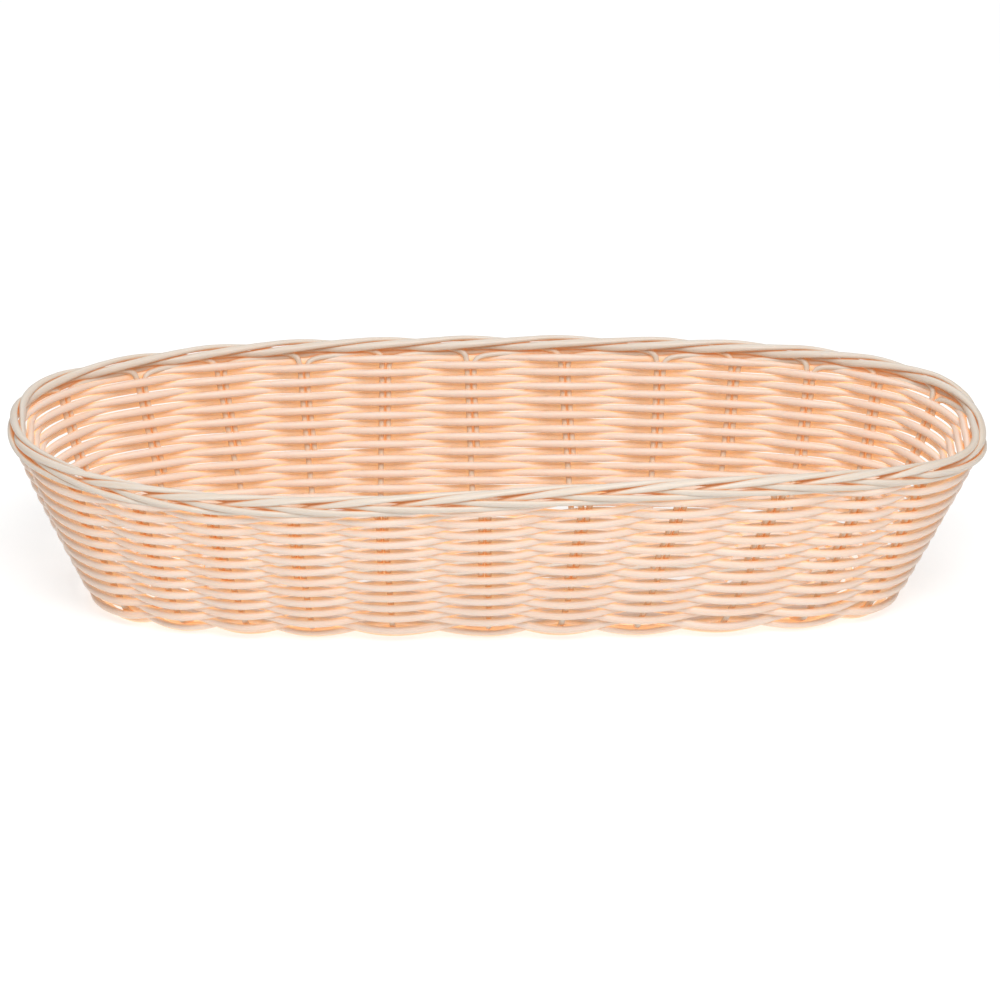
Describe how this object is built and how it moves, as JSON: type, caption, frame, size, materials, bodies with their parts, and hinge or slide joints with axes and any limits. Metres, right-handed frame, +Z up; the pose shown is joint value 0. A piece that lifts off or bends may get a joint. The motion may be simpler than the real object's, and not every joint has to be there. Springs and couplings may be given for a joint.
{
  "type": "bread basket",
  "caption": "Oblong open bread basket woven from round plastic cane: flat woven base, leaning walls in plain weave over thin stakes, and a rope border laid from the stakes' ends.",
  "frame": {"origin": "centre of the footprint, on the surface that the basket rests on", "axes": "+X along the basket's length, +Y across its width, +Z up out of its open top"},
  "size_m": [0.3807, 0.1652, 0.0721],
  "materials": {
    "stake_cane": "satin extruded polypropylene cane, ivory",
    "weaver_cane": "satin extruded polypropylene cane, peach"
  },
  "bodies": {
    "root": {"cross_stake_1": "stake_cane", "cross_stake_2": "stake_cane", "cross_stake_3": "stake_cane", "cross_stake_4": "stake_cane", "cross_stake_5": "stake_cane", "cross_stake_6": "stake_cane", "cross_stake_7": "stake_cane", "long_stake_1": "stake_cane", "long_stake_2": "stake_cane", "long_stake_3": "stake_cane", "long_stake_4": "stake_cane", "long_stake_5": "stake_cane", "bye_stake": "stake_cane", "base_round_01": "weaver_cane", "base_round_02": "weaver_cane", "base_round_03": "weaver_cane", "base_round_04": "weaver_cane", "base_round_05": "weaver_cane", "base_round_06": "weaver_cane", "base_round_07": "weaver_cane", "base_round_08": "weaver_cane", "base_round_09": "weaver_cane", "base_round_10": "weaver_cane", "base_round_11": "weaver_cane", "base_round_12": "weaver_cane", "base_round_13": "weaver_cane", "base_round_14": "weaver_cane", "turn_round_1": "weaver_cane", "turn_round_2": "weaver_cane", "turn_round_3": "weaver_cane", "wall_round_01": "weaver_cane", "wall_round_02": "weaver_cane", "wall_round_03": "weaver_cane", "wall_round_04": "weaver_cane", "wall_round_05": "weaver_cane", "wall_round_06": "weaver_cane", "wall_round_07": "weaver_cane", "wall_round_08": "weaver_cane", "wall_round_09": "weaver_cane", "wall_round_10": "weaver_cane", "wall_round_11": "weaver_cane", "wall_round_12": "weaver_cane", "wall_round_13": "weaver_cane", "wall_round_14": "weaver_cane", "wall_round_15": "weaver_cane", "wall_round_16": "weaver_cane", "wall_round_17": "weaver_cane", "wall_round_18": "weaver_cane", "wall_round_19": "weaver_cane", "wall_round_20": "weaver_cane", "wall_round_21": "weaver_cane"}
  },
  "joints": []
}
